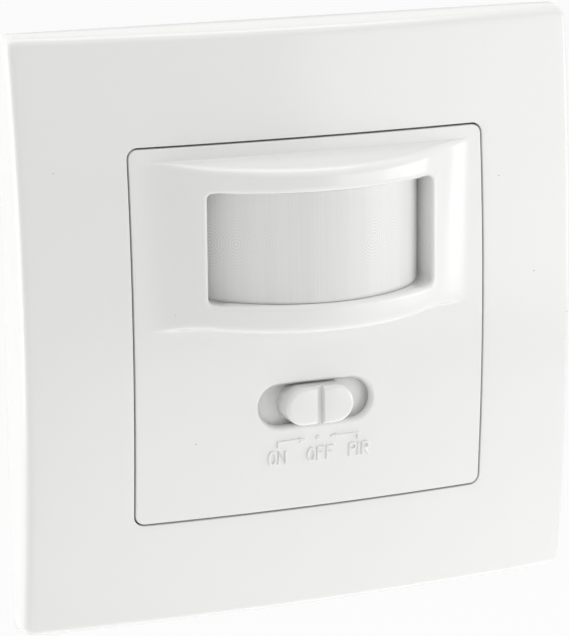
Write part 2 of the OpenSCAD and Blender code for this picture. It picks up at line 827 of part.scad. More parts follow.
module terminal_cages() color(brass) at_terminals() difference() {
    block([-cage_w / 2, y_power_back, cage_z], [cage_w / 2, y_cage_top, cage_z + cage_len]);
    translate([0, wire_axis_y, cage_z - 1]) cylinder(h = cage_len + 2, r = wire_r);
    translate([0, 0, clamp_z]) rod(clamp_r + screw_fit, wire_axis_y, y_cage_top + 1);
}

module terminal_screws() color(zinc) at_terminals() translate([0, 0, clamp_z]) difference() {
    union() {
        rod(clamp_head_r, y_clamp_head, y_clamp_head + clamp_head_h);
        rod(clamp_r, wire_axis_y + wire_r + cage_gap, y_clamp_head + eps);
    }
    slab(y_clamp_head + clamp_head_h / 2, y_clamp_head + 2 * clamp_head_h)
        square([4 * clamp_head_r, driver_slot / 2], center = true);
}

outer_frame();
front_cover();
fresnel_lens();
lens_retainer();
mode_knob();
switch_lever();
switch_contact();
switch_case();
switch_base();
switch_studs();
inner_cover();
cover_screws();
support_ring();
rear_housing();
sensor_board();
board_screws();
pir_base();
pir_can();
pir_window();
light_sensor();
time_trimmer();
time_rotor();
lux_trimmer();
lux_rotor();
detector_chip();
board_header();
power_board();
relay();
dropper_capacitor();
smoothing_capacitor();
varistor();
fuse_resistor();
rectifier_diodes();
terminal_block();
terminal_cages();
terminal_screws();
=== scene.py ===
"""Dresses a flush wall light switch with a motion sensor: smooth mouldings, lens, markings and finishes.

Lengths are in metres. X points right, Z up and Y into the wall, whose face is Y = 0.
"""

import json
import math

import bmesh
import bpy
from bmesh.types import BMEdge, BMFace, BMVert
from bpy.props import FloatProperty, FloatVectorProperty, PointerProperty
from bpy.types import Operator, Panel, PropertyGroup
from mathutils import Matrix, Vector


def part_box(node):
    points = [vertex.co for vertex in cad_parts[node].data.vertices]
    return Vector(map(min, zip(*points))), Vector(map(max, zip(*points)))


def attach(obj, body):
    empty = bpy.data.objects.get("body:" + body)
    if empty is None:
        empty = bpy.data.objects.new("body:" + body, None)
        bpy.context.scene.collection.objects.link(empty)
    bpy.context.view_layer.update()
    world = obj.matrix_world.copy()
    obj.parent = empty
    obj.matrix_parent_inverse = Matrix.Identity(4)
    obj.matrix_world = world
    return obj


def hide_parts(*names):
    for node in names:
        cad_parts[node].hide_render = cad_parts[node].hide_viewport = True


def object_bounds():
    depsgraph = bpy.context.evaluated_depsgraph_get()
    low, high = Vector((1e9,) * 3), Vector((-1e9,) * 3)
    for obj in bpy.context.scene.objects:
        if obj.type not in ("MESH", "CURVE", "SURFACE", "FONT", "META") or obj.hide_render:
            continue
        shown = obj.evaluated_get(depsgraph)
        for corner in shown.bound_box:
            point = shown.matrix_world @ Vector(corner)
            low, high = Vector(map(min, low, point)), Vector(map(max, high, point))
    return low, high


bl_info = {
    "name": "Motion sensor light switch",
    "version": (1, 0, 0),
    "blender": (4, 5, 0),
    "location": "3D View > Sidebar > Switch",
    "description": "Builds the visible pieces of a wall light switch around its packed solids",
    "category": "Object",
}

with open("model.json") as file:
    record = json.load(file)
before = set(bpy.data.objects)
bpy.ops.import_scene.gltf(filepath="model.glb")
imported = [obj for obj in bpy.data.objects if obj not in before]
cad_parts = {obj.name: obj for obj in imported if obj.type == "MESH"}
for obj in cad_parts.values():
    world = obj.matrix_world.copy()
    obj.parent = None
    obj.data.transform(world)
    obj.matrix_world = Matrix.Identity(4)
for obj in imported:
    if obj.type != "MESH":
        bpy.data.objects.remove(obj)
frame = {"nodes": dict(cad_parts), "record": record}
CAD_LOW, CAD_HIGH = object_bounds()
FRAME_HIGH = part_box("outer_frame")[1]
COVER_LOW, COVER_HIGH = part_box("front_cover")
LENS_LOW, LENS_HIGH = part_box("fresnel_lens")
KNOB_LOW, KNOB_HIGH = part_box("mode_knob")
RING_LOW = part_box("support_ring")[0]
INNER_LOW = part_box("inner_cover")[0]

MM = 0.001
SHARP_ANGLE = math.radians(40)
TINY = 1e-7
# Width of the camera's sensor in millimetres
SENSOR_WIDTH = 36
# Sockets of a colour mix node: its factor, its two colours and its result
MIX_FACTOR, MIX_A, MIX_B, MIX_RESULT = 0, 6, 7, 2


# Sizes, colours and settings that a user would change


def length(name, description, default):
    """A length that a user can change."""
    return FloatProperty(name=name, description=description, default=default, unit="LENGTH", precision=5)


def number(name, description, default, unit="NONE"):
    """A number that a user can change."""
    return FloatProperty(name=name, description=description, default=default, unit=unit)


def angle(name, description, degrees):
    """An angle that a user can change."""
    return FloatProperty(name=name, description=description, default=math.radians(degrees), subtype="ANGLE")


def linear(code):
    """The linear colour of an sRGB hex value."""
    parts = [int(code[i : i + 2], 16) / 255 for i in (0, 2, 4)]
    return tuple(c / 12.92 if c <= 0.04045 else ((c + 0.055) / 1.055) ** 2.4 for c in parts)


def colour(name, description, code):
    """A colour that a user can change, from an sRGB hex value."""
    return FloatVectorProperty(
        name=name, description=description, default=linear(code), size=3, min=0, max=1, subtype="COLOR"
    )


class FrontSizes(PropertyGroup):
    """Sizes of the frame, the cover and its hood."""

    dome_radius: length("Dome radius", "Radius of the spherical front", 284 * MM)
    crown: length("Crown", "Height of the dome above the wall", 9.4 * MM)
    side_draft: angle("Side draft", "Slope of the frame's sides", 5)
    frame_corner: length("Frame corner", "Corner radius of the frame's outline", 1.5 * MM)
    frame_edge: length("Frame edge", "Rounding of the frame's front edge", 0.9 * MM)
    rear_edge: length("Rear edge", "Rounding of the frame's rear edges", 0.25 * MM)
    inner_corner: length("Inner corner", "Corner radius inside the frame", 0.6 * MM)
    skin: length("Skin", "Thickness of the frame's front", 2.5 * MM)
    skirt: length("Skirt", "Thickness of the frame's sides at the wall", 2.6 * MM)
    collar: length("Collar", "Thickness of the collar around the opening", 1.8 * MM)
    cover_gap: length("Cover gap", "Gap between the cover and the frame", 0.26 * MM)
    cover_corner: length("Cover corner", "Corner radius of the cover", 1.2 * MM)
    opening_edge: length("Opening edge", "Rounding of the edge around the opening", 0.1 * MM)
    cover_edge: length("Cover edge", "Rounding of the cover's outer edge", 0.12 * MM)
    cover_foot: length("Cover foot", "Place of the cover's rear edge, on the frame's lip", -3.2 * MM)
    cover_skin: length("Cover skin", "Thickness of the cover's moulded wall", 1.2 * MM)
    lip: length("Lip", "How far the frame's lip reaches in under the cover", 1.6 * MM)
    hood_radius: length("Hood radius", "Radius of the hood's front, seen from above", 28 * MM)
    hood_bottom: length("Hood bottom", "Height of the hood's lower edge", 1.25 * MM)
    hood_sag: length("Hood sag", "How far the hood's lower edge sags in its middle", 0.65 * MM)
    sag_reach: length("Sag reach", "Half the width of that sag", 18 * MM)
    hood_foot: length("Hood foot", "Height where the hood's top meets the dome", 23.2 * MM)
    hood_fall: number("Hood fall", "Slope of the hood's top towards the front", 0.1)
    hood_crease: length("Hood crease", "Height over which the hood's top turns into the dome", 0.1 * MM)
    hood_blend: length("Hood blend", "Depth of the soft blend between the hood and the dome", 3.5 * MM)
    hood_edge: length("Hood edge", "Rounding of the hood's upper front edge", 1.3 * MM)
    ledge_edge: length("Ledge edge", "Rounding of the hood's lower edge", 1.1 * MM)
    ledge_foot: length("Ledge foot", "Rounding under the hood, where it meets the dome", 0.5 * MM)
    ledge_draft: length("Ledge draft", "How far the hood's underside slopes", 0.15 * MM)
    window_width: length("Window width", "Width of the lens window", 32 * MM)
    window_height: length("Window height", "Height of the lens window", 14.7 * MM)
    window_drop: length("Window drop", "How far the window's middle lies below the lens's", 0.15 * MM)
    window_corner: length("Window corner", "Corner radius of the lens window", 0.8 * MM)
    window_rim: length("Window rim", "Rounding of the window's rim", 0.7 * MM)
    tunnel_foot: length("Tunnel foot", "Half the width of the window's tunnel at its rear", 14.55 * MM)
    tunnel_lap: length("Tunnel lap", "How far the tunnel's rear covers the lens above and below", 0.15 * MM)
    tunnel_gap: length("Tunnel gap", "Gap between the tunnel's rear and the inner cover", 0.3 * MM)
    slot_length: length("Slot length", "Length of the knob's slot at its foot", 15.8 * MM)
    slot_height: length("Slot height", "Height of the knob's slot at its foot", 5.4 * MM)
    slot_depth: length("Slot depth", "Depth of the slot's wall", 0.75 * MM)
    slot_draft: length("Slot draft", "How far the slot's wall leans out towards the front", 0.55 * MM)
    slot_rim: length("Slot rim", "Rounding of the slot's rim", 0.2 * MM)
    strip: length("Strip", "Narrow strip left beside each rounded rim", 0.12 * MM)
    cell: length("Cell", "Size of the mesh cells on curved faces", 0.5 * MM)


class LensSizes(PropertyGroup):
    """Sizes of the lens sheet and its fine grooves."""

    radius: length("Lens radius", "Outer radius of the bent lens sheet", 18.4 * MM)
    thickness: length("Lens thickness", "Thickness of the lens sheet", 0.6 * MM)
    corner: length("Lens corner", "Corner radius of the lens sheet", 0.9 * MM)
    strip: length("Lens strip", "Width of each upright strip of the lens", 1.6 * MM)
    lenslet: length("Lenslet", "Width of each small lens in the sheet", 3.78 * MM)
    cell: length("Lens cell", "Size of the mesh cells on the lens sheet", 0.3 * MM)
    lens_row: length("Lens row", "Height of the small lenses' centres above the sheet's middle", 0.3 * MM)
    groove: length("Groove pitch", "Pitch of the round grooves, drawn coarse enough to show", 0.41 * MM)


class KnobSizes(PropertyGroup):
    """Sizes of the slide switch's knob."""

    length: length("Knob length", "Length of the grip at its root", 9.8 * MM)
    height: length("Knob height", "Height of the grip at its root", 5.4 * MM)
    tip_length: length("Tip length", "Length of the grip at its front, without the rounding", 9.7 * MM)
    tip_height: length("Tip height", "Height of the grip at its front, without the rounding", 5.1 * MM)
    plate: length("Plate", "Thickness of the plate behind the slot", 1.5 * MM)
    plate_corner: length("Plate corner", "Corner radius of the plate behind the slot", 1.0 * MM)
    groove_width: length("Groove width", "Width of the groove across the grip", 1.0 * MM)
    groove_depth: length("Groove depth", "Depth of the groove across the grip", 0.9 * MM)
    groove_edge: length("Groove edge", "Rounding of the groove's edges", 0.15 * MM)
    sunk: length("Sunk", "How far the grip's foot is sunk in the plate", 0.2 * MM)
    edge: length("Knob edge", "Rounding of the grip's front edge", 0.6 * MM)


class MarkSizes(PropertyGroup):
    """Sizes of the raised markings under the slot."""

    stroke: length("Stroke", "Width of the raised strokes", 0.4 * MM)
    rise: length("Rise", "How far the round strokes' middle lies in front of the cover", 0.03 * MM)
    cap_height: length("Letter height", "Height of the letters between their strokes' middles", 1.75 * MM)
    letter_width: length("Letter width", "Width of the letters between their strokes' middles", 0.95 * MM)
    letter_z: length("Letter place", "Height of the letters' feet", -18.5 * MM)
    arrow_z: length("Arrow place", "Height of the arrows", -15.4 * MM)
    arrow_stem: length("Arrow stem", "How far each arrow's stem reaches down", 0.8 * MM)


class FinishColours(PropertyGroup):
    """Colours of the finishes that show."""

    front_white: colour("Front white", "The glossy white of the frame, cover and knob", "EFEFED")
    lens_milk: colour("Lens milk", "The milky white of the lens", "E5E6E4")
    inner_white: colour("Inner white", "The matt white of the housing", "DEDED9")
    zinc: colour("Zinc", "The bright zinc of the support ring", "C3C6C8")
    brass: colour("Brass", "The bare brass of the terminals", "C9A765")
    terminal_green: colour("Terminal green", "The green of the terminal block", "3E8A5A")
    paper: colour("Paper", "The white of the floor's paper", "EDEDED")


class StageSettings(PropertyGroup):
    """Camera, light and floor."""

    camera_place: FloatVectorProperty(
        name="Camera",
        description="Place of the camera",
        default=(-0.1452, -0.35124, 0.08744),
        subtype="TRANSLATION",
    )
    azimuth: angle("Azimuth", "Camera's turn around the object", -22.37)
    elevation: angle("Elevation", "Camera's angle above the level", 13.08)
    roll: angle("Roll", "Camera's roll", -0.5)
    focal: number("Focal length", "Focal length of the camera in millimetres", 163.3, "CAMERA")
    floor_half: length("Floor", "Half the width of the floor", 3.0)
    floor_drop: length("Floor drop", "Distance from the frame's lower edge down to the floor", 0.2)
    floor_white: number("Floor white", "Share of plain white in the floor", 0.93)
    sky: number("Sky", "Strength of the soft light from all around", 0.54)
    key: number("Key", "Power of the lamp at the front right", 0.83, "POWER")
    side: number("Side", "Power of the lamp at the right", 1.06, "POWER")
    rim: number("Rim", "Power of the lamp at the rear left", 1.25, "POWER")
    left: number("Left", "Power of the lamp at the left", 0.35, "POWER")
    low: number("Low", "Power of the lamp below the front", 0.15, "POWER")
    under: number("Under", "Power of the lamp straight below", 0.13, "POWER")
    over: number("Over", "Power of the lamp overhead", 1.35, "POWER")
    front: number("Front", "Power of the lamp above the front", 0.27, "POWER")


# Materials


def add_node(tree, kind, inputs=None, **settings):
    """Adds one node. An input is a fixed value, an output, or a node whose first output feeds it."""
    node = tree.nodes.new(kind)
    for key, value in settings.items():
        setattr(node, key, value)
    for socket, value in (inputs or {}).items():
        if isinstance(value, bpy.types.Node):
            value = value.outputs[0]
        if isinstance(value, bpy.types.NodeSocket):
            tree.links.new(value, node.inputs[socket])
        else:
            node.inputs[socket].default_value = value
    return node


def new_tree(data):
    """The empty node tree of a new material or world."""
    data.use_nodes = True
    data.node_tree.nodes.clear()
    return data.node_tree


def new_material(name, shade_with):
    """A material with one Principled shader, whose inputs a function gives from the material's tree."""
    material = bpy.data.materials.new(name)
    tree = new_tree(material)
    shader = add_node(tree, "ShaderNodeBsdfPrincipled", shade_with(tree))
    add_node(tree, "ShaderNodeOutputMaterial", {"Surface": shader})
    return material


def tone(rgb, share):
    """A colour with that share of its light, and full alpha."""
    return (*(c * share for c in rgb), 1.0)


def moulded(name, rgb, roughness, cloud, grain, depth, speck_spacing=0, speck_radius=0):
    """A moulded plastic: faint clouds, uneven gloss, the skin of its tool and any dark specks."""
    cloud_shade, speck_shade, gloss_spread = 0.97, 0.5, 0.1

    def shade_with(tree):
        place = add_node(tree, "ShaderNodeTexCoord").outputs["Object"]
        clouds = add_node(tree, "ShaderNodeTexNoise", {"Vector": place, "Scale": 1 / cloud, "Detail": 3.0})
        mix = {MIX_FACTOR: clouds, MIX_A: tone(rgb, cloud_shade), MIX_B: tone(rgb, 1)}
        tint = add_node(tree, "ShaderNodeMix", mix, data_type="RGBA").outputs[MIX_RESULT]
        if speck_spacing:
            cells = add_node(tree, "ShaderNodeTexVoronoi", {"Vector": place, "Scale": 1 / speck_spacing})
            near = {0: cells, 1: speck_radius / speck_spacing}
            speck = add_node(tree, "ShaderNodeMath", near, operation="LESS_THAN")
            mix = {MIX_FACTOR: speck, MIX_A: tint, MIX_B: tone(rgb, speck_shade)}
            tint = add_node(tree, "ShaderNodeMix", mix, data_type="RGBA").outputs[MIX_RESULT]
        uneven = {0: clouds, 1: gloss_spread, 2: roughness - gloss_spread / 2}
        gloss = add_node(tree, "ShaderNodeMath", uneven, operation="MULTIPLY_ADD")
        skin = add_node(tree, "ShaderNodeTexNoise", {"Vector": place, "Scale": 1 / grain, "Detail": 2.0})
        bump = add_node(tree, "ShaderNodeBump", {"Height": skin, "Strength": 0.5, "Distance": depth})
        return {"Base Color": tint, "Roughness": gloss, "Normal": bump, "IOR": 1.53}

    return new_material(name, shade_with)


def milky_polyethylene():
    """Milky polyethylene sheet: a soft gloss, upright streaks and strips, and its lenses' round grooves,
    whose shade and highlight are also painted into its colour as light and dark rings.
    """
    sizes = bpy.context.scene.switch_lens
    rgb = bpy.context.scene.switch_colours.lens_milk
    streak_width, streak_length = 0.25 * MM, 40 * MM
    groove_depth, groove_reach = 0.004 * MM, 4.2 * MM
    # Shares in the colour of the random streaks, the random strips and the grooves' painted shade and
    # highlight
    streak_share, strip_share, painted_groove_shade_share = 0.8, 0.15, 0.9
    strip_skip, lenslet_skip = 0.618, 0.828
    dark, light = 0.92, 1.08

    def shade_with(tree):
        place = add_node(tree, "ShaderNodeTexCoord").outputs["UV"]
        flat = add_node(tree, "ShaderNodeSeparateXYZ", {"Vector": place}).outputs
        stretch = {"Vector": place, "Scale": (1 / streak_width, 1 / streak_length, 1)}
        drawn = add_node(tree, "ShaderNodeMapping", stretch)
        streaks = add_node(tree, "ShaderNodeTexNoise", {"Vector": drawn, "Scale": 1.0, "Detail": 3.0})
        # Each strip and each small lens gets a share of its own from 0 to 1, from its number along the sheet
        rows = (("strip", sizes.strip, strip_skip), ("lenslet", sizes.lenslet, lenslet_skip))
        shares = {}
        for name, width, skip in rows:
            along = add_node(tree, "ShaderNodeMath", {0: flat["X"], 1: width}, operation="DIVIDE")
            count = add_node(tree, "ShaderNodeMath", {0: along}, operation="FLOOR")
            step = add_node(tree, "ShaderNodeMath", {0: count, 1: skip}, operation="MULTIPLY")
            shares[name] = add_node(tree, "ShaderNodeMath", {0: step}, operation="FRACT")
        # Round grooves about each small lens's centre, which fade outwards and are faint in most of them.
        # They bump the surface, and their painted shade and highlight darken and lighten the colour in
        # rings.
        inside = add_node(tree, "ShaderNodeMath", {0: along}, operation="FRACT")
        spread = {0: inside, 1: sizes.lenslet, 2: -sizes.lenslet / 2}
        across = add_node(tree, "ShaderNodeMath", spread, operation="MULTIPLY_ADD")
        above = add_node(tree, "ShaderNodeMath", {0: flat["Y"], 1: sizes.lens_row}, operation="SUBTRACT")
        spot = add_node(tree, "ShaderNodeCombineXYZ", {"X": across, "Y": above})
        reach = add_node(tree, "ShaderNodeVectorMath", {0: spot}, operation="LENGTH").outputs["Value"]
        turns = {0: reach, 1: 2 * math.pi / sizes.groove}
        turn = add_node(tree, "ShaderNodeMath", turns, operation="MULTIPLY")
        wave = add_node(tree, "ShaderNodeMath", {0: turn}, operation="SINE")
        near = {"Value": reach, "From Max": groove_reach, "To Min": 1.0, "To Max": 0.0}
        fade = add_node(tree, "ShaderNodeMapRange", near)
        few = add_node(tree, "ShaderNodeMath", {0: shares["lenslet"], 1: 2.0}, operation="POWER")
        faint = add_node(tree, "ShaderNodeMath", {0: fade, 1: few}, operation="MULTIPLY")
        rings = add_node(tree, "ShaderNodeMath", {0: wave, 1: faint}, operation="MULTIPLY")
        bump = add_node(tree, "ShaderNodeBump", {"Height": rings, "Strength": 0.4, "Distance": groove_depth})
        # The colour mixes the sheet's random streaks and strips with painted shade and highlight along the
        # grooves' rings
        milk_and_groove_shade = add_node(tree, "ShaderNodeMath", {0: streaks, 1: streak_share}, operation="MULTIPLY")
        for part, weight in ((shares["strip"], strip_share), (rings, painted_groove_shade_share)):
            added = {0: part, 1: weight, 2: milk_and_groove_shade}
            milk_and_groove_shade = add_node(tree, "ShaderNodeMath", added, operation="MULTIPLY_ADD")
        mix = {MIX_FACTOR: milk_and_groove_shade, MIX_A: tone(rgb, dark), MIX_B: tone(rgb, light)}
        tint = add_node(tree, "ShaderNodeMix", mix, data_type="RGBA").outputs[MIX_RESULT]
        return {"Base Color": tint, "Normal": bump, "Roughness": 0.35, "IOR": 1.51}

    return new_material("milky_polyethylene", shade_with)


def zinc_plated_steel():
    """Zinc plated steel sheet: bright, with fine rolling lines and a faint bluish cloud."""
    rgb = bpy.context.scene.switch_colours.zinc
    blue = [c * share for c, share in zip(rgb, (0.9, 0.93, 1.0))]
    line_length, line_spacing, cloud = 20 * MM, 0.3 * MM, 12 * MM
    cloud_shade, least_rough, gloss_spread = 0.85, 0.22, 0.25

    def shade_with(tree):
        place = add_node(tree, "ShaderNodeTexCoord").outputs["Object"]
        stretch = {"Vector": place, "Scale": (1 / line_length, 1 / line_spacing, 1 / line_spacing)}
        drawn = add_node(tree, "ShaderNodeMapping", stretch)
        lines = add_node(tree, "ShaderNodeTexNoise", {"Vector": drawn, "Scale": 1.0, "Detail": 2.0})
        clouds = add_node(tree, "ShaderNodeTexNoise", {"Vector": place, "Scale": 1 / cloud, "Detail": 2.0})
        mix = {MIX_FACTOR: clouds, MIX_A: tone(blue, cloud_shade), MIX_B: tone(rgb, 1)}
        tint = add_node(tree, "ShaderNodeMix", mix, data_type="RGBA").outputs[MIX_RESULT]
        lined = {0: lines, 1: gloss_spread, 2: least_rough}
        gloss = add_node(tree, "ShaderNodeMath", lined, operation="MULTIPLY_ADD")
        return {"Base Color": tint, "Roughness": gloss, "Metallic": 1.0}

    return new_material("zinc_plated_steel", shade_with)


def bare_brass():
    """Drawn brass: a warm metal, a little dulled in patches."""
    rgb = bpy.context.scene.switch_colours.brass
    patch = 2 * MM
    patch_shade, most_rough, gloss_spread = 0.8, 0.42, 0.2

    def shade_with(tree):
        place = add_node(tree, "ShaderNodeTexCoord").outputs["Object"]
        dull = add_node(tree, "ShaderNodeTexNoise", {"Vector": place, "Scale": 1 / patch, "Detail": 3.0})
        mix = {MIX_FACTOR: dull, MIX_A: tone(rgb, patch_shade), MIX_B: tone(rgb, 1)}
        tint = add_node(tree, "ShaderNodeMix", mix, data_type="RGBA").outputs[MIX_RESULT]
        patchy = {0: dull, 1: -gloss_spread, 2: most_rough}
        gloss = add_node(tree, "ShaderNodeMath", patchy, operation="MULTIPLY_ADD")
        return {"Base Color": tint, "Roughness": gloss, "Metallic": 1.0}

    return new_material("bare_brass", shade_with)


# Moulded and coated materials by slot: name, colour as a property or an sRGB value, roughness, then in
# millimetres the width of its clouds, its grain and its relief, and any dark specks' spacing and radius
PLASTICS = {
    # A polished tool gives the front a clean gloss with soft waves, and the resin holds a few dark specks
    "white_front": ("gloss_white_abs", "front_white", 0.18, 30, 7, 0.004, 5, 0.1),
    # An eroded tool gives the housing a fine matt grain
    "white_inner": ("matt_white_polycarbonate", "inner_white", 0.50, 20, 0.4, 0.010),
    # Filled resins have a dull, slightly mottled skin
    "terminal_green": ("green_polyamide", "terminal_green", 0.45, 6, 0.3, 0.008),
    "retainer_grey": ("grey_polystyrene", "8D9093", 0.45, 10, 0.4, 0.010),
    "black_plastic": ("black_nylon", "26272A", 0.50, 6, 0.3, 0.010),
    # Cast and polished resins are smooth and mirror the light
    "window_dark": ("dark_infrared_filter", "1D1B22", 0.15, 3, 1.0, 0.002),
    "sensor_clear": ("clear_epoxy", "CDD2CD", 0.15, 3, 1.0, 0.002),
    # Small cases from plain tools have an even, quiet gloss
    "trimmer_blue": ("blue_polyester", "2F5EA8", 0.35, 3, 0.3, 0.006),
    "rotor_white": ("white_acetal", "E2E2DD", 0.40, 3, 0.3, 0.006),
    "relay_black": ("relay_case_polyester", "22283A", 0.30, 5, 0.3, 0.006),
    "capacitor_yellow": ("yellow_box_polyester", "D2A63C", 0.35, 5, 0.3, 0.006),
    # Coats and sleeves keep a soft orange peel, and the flameproof one is dull
    "board_green": ("green_solder_mask", "2A6A45", 0.35, 4, 0.6, 0.020),
    "capacitor_sleeve": ("black_vinyl_sleeve", "1E2027", 0.30, 5, 0.5, 0.010),
    "resistor_grey": ("grey_flameproof_coat", "7E8A90", 0.60, 2, 0.2, 0.010),
}


def finishes():
    """One material for each of the record's slots."""
    colours = bpy.context.scene.switch_colours
    made = {"lens_milk": milky_polyethylene(), "zinc_steel": zinc_plated_steel(), "brass": bare_brass()}
    for slot, (name, code, roughness, *sizes) in PLASTICS.items():
        rgb = getattr(colours, code) if hasattr(colours, code) else linear(code)
        made[slot] = moulded(name, rgb, roughness, *(size * MM for size in sizes))
    return made


# Shapes


def spaced(stops, step):
    """Even places from stop to stop, at most a step apart."""
    places = [stops[0]]
    for low, high in zip(stops, stops[1:]):
        count = max(1, math.ceil((high - low) / step - TINY))
        places += [low + (high - low) * i / count for i in range(1, count + 1)]
    return places


def on_rounded_box(x, z, half_x, half_z, radius):
    """The point of a round-cornered rectangle that is nearest to a point outside its corners' centres."""
    mid_x = max(radius - half_x, min(half_x - radius, x))
    mid_z = max(radius - half_z, min(half_z - radius, z))
    out = Vector((x - mid_x, z - mid_z)).normalized() * radius
    return mid_x + out.x, mid_z + out.y


def dome_height(x, z):
    """How far the domed front stands out from the wall."""
    sizes = bpy.context.scene.switch_front
    return math.sqrt(sizes.dome_radius**2 - x * x - z * z) - sizes.dome_radius + sizes.crown


def smooth_max(a, b, width):
    """The larger of two heights, with a soft hollow where they come within a width of each other."""
    near = max(width - abs(a - b), 0)
    return max(a, b) + near * near / (4 * width)


def hood_front(x, z):
    """How far the hood's upright round front stands out, with its rounded upper edge."""
    sizes = bpy.context.scene.switch_front
    axis = sizes.hood_radius + COVER_LOW.y
    inner = sizes.hood_radius - sizes.hood_edge
    depth = math.sqrt(inner**2 - x * x) - axis - dome_height(x, z)
    top = sizes.hood_foot - depth * sizes.hood_fall
    start = top - sizes.hood_edge * math.hypot(1, sizes.hood_fall)
    rise = min(max(z - start, 0), sizes.hood_edge)
    radius = inner + math.sqrt(sizes.hood_edge**2 - rise**2)
    return math.sqrt(radius**2 - x * x) - axis


def cover_height(x, z):
    """How far the cover's front stands out from the wall, with its hood."""
    sizes = bpy.context.scene.switch_front
    dome = dome_height(x, z)
    if z <= sizes.hood_bottom:
        return dome
    front = smooth_max(dome, hood_front(x, z), sizes.hood_blend)
    top = dome + smooth_max(sizes.hood_foot - z, 0, sizes.hood_crease) / sizes.hood_fall
    return min(front, top)


def quarter_turn(steps):
    """Angles from nothing to a quarter turn, in even steps."""
    return [math.pi / 2 * i / steps for i in range(steps + 1)]


def ledge_rows(steps):
    """The rows of the hood's lower edge, each a function of x: a hollow foot and then a round edge."""
    sizes = bpy.context.scene.switch_front
    # Neither rounding takes more than this share of the hood's rise
    most = 0.45

    def row(at_foot, turn):
        def place(x):
            bottom = sizes.hood_bottom - sizes.hood_sag * max(1 - (x / sizes.sag_reach) ** 2, 0)
            top = bottom + sizes.ledge_draft + sizes.ledge_edge
            low = dome_height(x, bottom)
            rise = cover_height(x, top) - low
            if at_foot:
                height = low + min(sizes.ledge_foot, most * rise) * (1 - math.cos(turn))
                z = bottom - sizes.ledge_foot * (1 - math.sin(turn))
            else:
                height = low + rise - min(sizes.ledge_edge, most * rise) * (1 - math.sin(turn))
                z = top - sizes.ledge_edge * math.cos(turn)
            return Vector((x, -height, z))

        return place

    return [row(at_foot, turn) for at_foot in (True, False) for turn in quarter_turn(steps)]


def onto_outline(mid_z, half_x, half_z, radius, depth=None):
    """A function that moves points out to a rounded outline, on the cover's front or at a depth."""

    def place(co):
        x, z = on_rounded_box(co.x, co.z - mid_z, half_x, half_z, radius)
        z += mid_z
        return Vector((x, -cover_height(x, z) if depth is None else depth, z))

    return place


def add_grid(bm, columns, rows, place):
    """Adds a grid, each of whose vertices a function places from its column and row."""
    across, up = len(columns) - 1, len(rows) - 1
    bmesh.ops.create_grid(bm, x_segments=across, y_segments=up, size=1)
    for vert in bm.verts:
        column, row = round((vert.co.x + 1) / 2 * across), round((vert.co.y + 1) / 2 * up)
        vert.co = place(columns[column], rows[row])


def round_off(bm, geom, radius, segments, affect="EDGES"):
    """Rounds edges, or the corners of an outline, with an arc."""
    bmesh.ops.bevel(
        bm,
        geom=geom,
        offset=radius,
        segments=segments,
        profile=0.5,
        affect=affect,
        material=-1,
        clamp_overlap=True,
    )


def loop_verts(edges):
    """The vertices of a loop of edges."""
    return {v for e in edges for v in e.verts}


def square_ring(bm, half, corner, y, cuts):
    """Adds a square loop with round corners at a depth, and returns its edges."""
    before = set(bm.edges)
    bmesh.ops.create_grid(bm, x_segments=1, y_segments=1, size=half)
    corners = [v for v in bm.verts if not any(e in before for e in v.link_edges)]
    round_off(bm, corners, corner, segments=6, affect="VERTICES")
    sides = [e for e in bm.edges if e not in before and e.calc_length() > half]
    bmesh.ops.subdivide_edges(bm, edges=sides, cuts=cuts)
    ring = [e for e in bm.edges if e not in before]
    faces = {f for e in ring for f in e.link_faces}
    bmesh.ops.delete(bm, geom=list(faces), context="FACES_ONLY")
    for vert in loop_verts(ring):
        vert.co = (vert.co.x, y, vert.co.y)
    return ring


def made_of(result, kind):
    """The elements of one kind in a mesh operator's result."""
    return [g for g in result["geom"] if isinstance(g, kind)]


def extrude_loop(bm, edges, place):
    """Extrudes a loop of edges, moves the new vertices by a function and returns the new loop."""
    made = bmesh.ops.extrude_edge_only(bm, edges=edges)
    fresh = set(made_of(made, BMVert))
    for vert in fresh:
        vert.co = place(vert.co)
    return [e for e in made_of(made, BMEdge) if fresh.issuperset(e.verts)]


def face_front(bm):
    """Turns an open shell's faces outwards, which is mostly towards the room."""
    bmesh.ops.recalc_face_normals(bm, faces=bm.faces)
    if sum(f.normal.y * f.calc_area() for f in bm.faces) > 0:
        bmesh.ops.reverse_faces(bm, faces=bm.faces)


FINISHES = {}


def finish_of(slot):
    """The material of a slot, made once for the whole object."""
    if not FINISHES:
        FINISHES.update(finishes())
    return FINISHES[slot]


def add_piece(name, bm, body, slot, *nodes):
    """Makes a smooth piece of a bmesh, sets it on its body and lets it stand for CAD nodes."""
    for face in bm.faces:
        face.smooth = True
    mesh = bpy.data.meshes.new(name)
    bm.to_mesh(mesh)
    bm.free()
    mesh.set_sharp_from_angle(angle=SHARP_ANGLE)
    mesh.materials.append(finish_of(slot))
    piece = bpy.data.objects.new(name, mesh)
    bpy.context.scene.collection.objects.link(piece)
    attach(piece, body)
    if nodes:
        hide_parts(*nodes)
    return piece


def thicken(piece, thickness):
    """Gives a sheet its thickness, behind its front."""
    wall = piece.modifiers.new("wall", "SOLIDIFY")
    wall.thickness = thickness
    wall.offset = -1


# Operators


